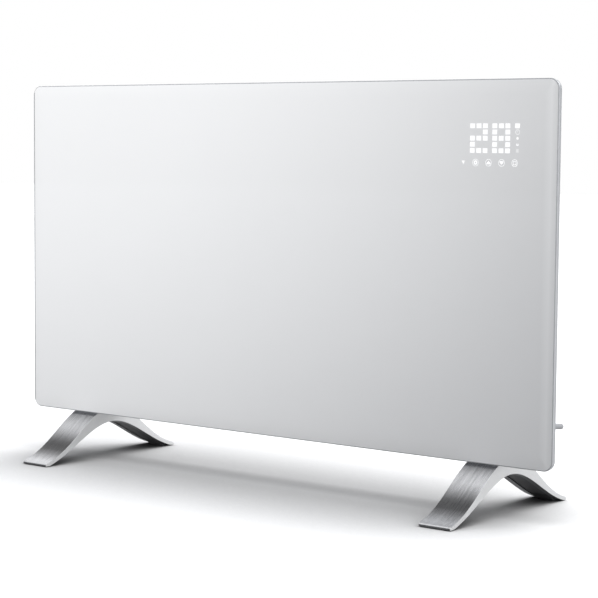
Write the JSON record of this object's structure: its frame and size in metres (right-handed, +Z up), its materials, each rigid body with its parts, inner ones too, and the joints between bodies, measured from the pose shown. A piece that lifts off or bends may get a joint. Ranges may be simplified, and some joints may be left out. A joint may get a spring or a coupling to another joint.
{
  "type": "panel convector heater",
  "caption": "Slim glass-fronted panel convector heater standing on two arched metal feet, with a slotted sheet-steel rear case, a lit display and touch keys behind the glass.",
  "frame": {"origin": "on the floor, midway between the two feet and midway along their length", "axes": "+X along the panel to the right as seen from the front, +Y to the rear, +Z up"},
  "size_m": [0.83, 0.249, 0.5018],
  "materials": {
    "white_glass": "polished tempered glass, printed white on its back",
    "light_frame": "light grey moulding, fine satin",
    "white_steel": "white powder coat, fine orange peel",
    "brushed_aluminium": "brushed along the leg, satin sides",
    "black_rubber": "matt moulded rubber",
    "black_plastic": "fine texture",
    "pale_plastic": "satin moulding",
    "zinc_steel": "zinc plated",
    "bare_aluminium": "mill finish",
    "ceramic": "unglazed",
    "circuit_board": "green solder mask",
    "light_guide": "frosted clear",
    "foam_tape": "closed-cell foam",
    "copper_foil": "copper foil",
    "relay_blue": "moulded",
    "red_sleeve": "silicone insulation",
    "grey_sleeve": "soft insulation"
  },
  "bodies": {
    "heater": {"front_glass": "white_glass", "carrier_frame": "light_frame", "bond_strip_left": "foam_tape", "bond_strip_middle": "foam_tape", "bond_strip_right": "foam_tape", "display_holder": "black_plastic", "display_light_guide": "light_guide", "touch_key_foil": "copper_foil", "display_board": "circuit_board", "rear_case": "white_steel", "case_screw_1": "zinc_steel", "case_screw_2": "zinc_steel", "case_screw_3": "zinc_steel", "case_screw_4": "zinc_steel", "case_screw_5": "zinc_steel", "case_screw_6": "zinc_steel", "hanger_hook_left": "zinc_steel", "hanger_hook_right": "zinc_steel", "heat_shield": "bare_aluminium", "element_bracket_left": "zinc_steel", "element_bracket_right": "zinc_steel", "element_fins_1": "bare_aluminium", "element_fins_2": "bare_aluminium", "element_core_1": "zinc_steel", "element_core_2": "zinc_steel", "bush_left_1": "ceramic", "bush_left_2": "ceramic", "bush_right_1": "ceramic", "bush_right_2": "ceramic", "thermal_cutout": "black_plastic", "element_link": "zinc_steel", "electronics_tray": "black_plastic", "power_board": "circuit_board", "relay_1": "relay_blue", "relay_2": "relay_blue", "power_supply_block": "black_plastic", "terminal_block": "pale_plastic", "element_lead_1": "red_sleeve", "element_lead_2": "red_sleeve", "display_ribbon": "grey_sleeve", "switch_lead": "grey_sleeve", "air_sensor": "black_plastic", "mains_switch_body": "black_plastic", "tilt_switch_case": "pale_plastic", "cable_gland": "pale_plastic", "gland_nut": "pale_plastic", "foot_left": "brushed_aluminium", "foot_right": "brushed_aluminium", "sole_left_front": "black_rubber", "sole_left_rear": "black_rubber", "sole_right_front": "black_rubber", "sole_right_rear": "black_rubber", "foot_screw_left_1": "zinc_steel", "foot_screw_left_2": "zinc_steel", "foot_screw_right_1": "zinc_steel", "foot_screw_right_2": "zinc_steel", "foot_plate_left": "zinc_steel", "foot_plate_right": "zinc_steel"},
    "rocker": {"mains_rocker": "black_plastic"},
    "pendulum": {"tilt_pendulum": "zinc_steel"}
  },
  "joints": [
    {"name": "mains_rocker_tilt", "type": "hinge", "parent": "heater", "child": "rocker", "pos_m": [0.3835, 0, 0.1483], "axis": [0, -1, 0], "range_deg": [0, 20]},
    {"name": "tilt_pendulum_swing", "type": "hinge", "parent": "heater", "child": "pendulum", "pos_m": [0.301, 0.0023, 0.1543], "axis": [1, 0, 0], "range_deg": [-25, 25]}
  ]
}
